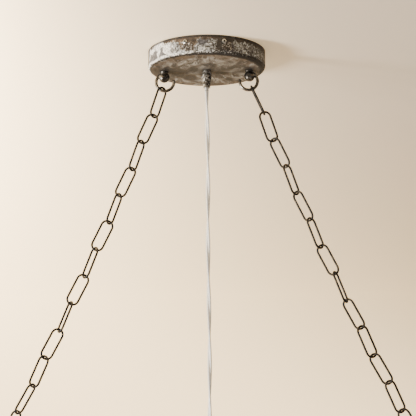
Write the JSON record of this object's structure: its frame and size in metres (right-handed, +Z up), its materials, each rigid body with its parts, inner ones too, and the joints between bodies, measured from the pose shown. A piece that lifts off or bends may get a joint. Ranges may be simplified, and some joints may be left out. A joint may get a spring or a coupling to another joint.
{
  "type": "chandelier",
  "caption": "Rectangular open-frame chandelier with candle lamps, hung from a round ceiling canopy on two spreading long-link chains, with a flat cord down the middle.",
  "frame": {"origin": "centre of the canopy's rim on the ceiling", "axes": "+X along the chandelier to the right, +Y away from the viewer, +Z up"},
  "size_m": [0.9312, 0.3, 1.1862],
  "materials": {
    "distressed_leaf": "worn white and silver leaf over brown-grey primer",
    "dark_iron": "dark antique iron with worn highlights",
    "zinc_steel": "zinc plated",
    "dark_bronze": "darkened, worn",
    "earth_green": "green",
    "clear_cord": "clear twin cord with silver-grey conductors",
    "ivory_sleeve": "satin ivory",
    "socket_brass": "satin",
    "lamp_glass": "clear"
  },
  "bodies": {
    "ceiling_canopy": {"canopy": "distressed_leaf", "mounting_bracket": "zinc_steel", "canopy_screws": "dark_bronze", "ground_screw": "earth_green", "left_hook": "dark_iron", "right_hook": "dark_iron", "hook_collars": "dark_iron", "hook_washers": "zinc_steel", "hook_nuts": "zinc_steel", "cord_grip": "dark_bronze", "grip_cap": "dark_bronze", "grip_screw": "zinc_steel", "grip_locknut": "zinc_steel"},
    "left_top_link": {"left_top_link": "dark_iron"},
    "left_chain": {"left_chain": "dark_iron"},
    "left_bottom_link": {"left_bottom_link": "dark_iron"},
    "right_top_link": {"right_top_link": "dark_iron"},
    "right_chain": {"right_chain": "dark_iron"},
    "right_bottom_link": {"right_bottom_link": "dark_iron"},
    "cord": {"cord": "clear_cord"},
    "frame": {"left_eye": "dark_iron", "right_eye": "dark_iron", "eye_nuts": "zinc_steel", "top_front_rail": "distressed_leaf", "top_back_rail": "distressed_leaf", "top_left_rail": "distressed_leaf", "top_right_rail": "distressed_leaf", "bottom_front_rail": "distressed_leaf", "bottom_back_rail": "distressed_leaf", "bottom_left_rail": "distressed_leaf", "bottom_right_rail": "distressed_leaf", "front_left_post": "distressed_leaf", "front_right_post": "distressed_leaf", "back_left_post": "distressed_leaf", "back_right_post": "distressed_leaf", "cross_bar": "distressed_leaf", "hub_grip": "dark_bronze", "stem": "distressed_leaf", "stem_collars": "distressed_leaf", "lamp_bar_tube": "distressed_leaf", "finial": "distressed_leaf", "sockets": "socket_brass", "drip_pan_1": "distressed_leaf", "drip_pan_2": "distressed_leaf", "drip_pan_3": "distressed_leaf", "drip_pan_4": "distressed_leaf", "drip_pan_5": "distressed_leaf", "drip_pan_6": "distressed_leaf", "candle_sleeve_1": "ivory_sleeve", "candle_sleeve_2": "ivory_sleeve", "candle_sleeve_3": "ivory_sleeve", "candle_sleeve_4": "ivory_sleeve", "candle_sleeve_5": "ivory_sleeve", "candle_sleeve_6": "ivory_sleeve", "bulb_1": "lamp_glass", "bulb_2": "lamp_glass", "bulb_3": "lamp_glass", "bulb_4": "lamp_glass", "bulb_5": "lamp_glass", "bulb_6": "lamp_glass"}
  },
  "joints": [
    {"name": "fore_aft_swing", "type": "hinge", "parent": "ceiling_canopy", "child": "left_top_link", "pos_m": [-0.05703, 0, -0.04893], "axis": [1, 0, 0], "range_deg": [-15, 15]},
    {"name": "right_fore_aft", "type": "hinge", "parent": "ceiling_canopy", "child": "right_top_link", "pos_m": [0.05813, 0, -0.04851], "axis": [1, 0, 0], "range_deg": [-15, 15]},
    {"name": "sway", "type": "hinge", "parent": "left_top_link", "child": "left_chain", "pos_m": [-0.06838, 0, -0.08347], "axis": [0, 1, 0], "range_deg": [-5, 5]},
    {"name": "right_sway", "type": "hinge", "parent": "right_top_link", "child": "right_chain", "pos_m": [0.07303, 0, -0.08166], "axis": [0, 1, 0], "range_deg": [-5.2, 5.2]},
    {"name": "left_end_turn", "type": "hinge", "parent": "left_chain", "child": "left_bottom_link", "pos_m": [-0.42926, 0, -0.80977], "axis": [0, 1, 0], "range_deg": [-1, 1]},
    {"name": "right_end_turn", "type": "hinge", "parent": "right_chain", "child": "right_bottom_link", "pos_m": [0.43315, 0, -0.80756], "axis": [0, 1, 0], "range_deg": [-1, 1]},
    {"name": "frame_rock", "type": "hinge", "parent": "left_bottom_link", "child": "frame", "pos_m": [-0.44833, 0, -0.83749], "axis": [1, 0, 0], "range_deg": [-15, 15]},
    {"name": "cord_sway", "type": "hinge", "parent": "left_top_link", "child": "cord", "pos_m": [0, 0, -0.046], "axis": [0, 1, 0], "range_deg": [-5, 5], "deforming": ["cord"]}
  ],
  "couplings": [
    {"joint": "right_fore_aft", "follows": "fore_aft_swing", "ratio": 1},
    {"joint": "right_sway", "follows": "sway", "ratio": 0.99801},
    {"joint": "left_end_turn", "follows": "sway", "ratio": -0.1648},
    {"joint": "right_end_turn", "follows": "sway", "ratio": -0.16281},
    {"joint": "cord_sway", "follows": "sway", "ratio": 0.94588}
  ]
}
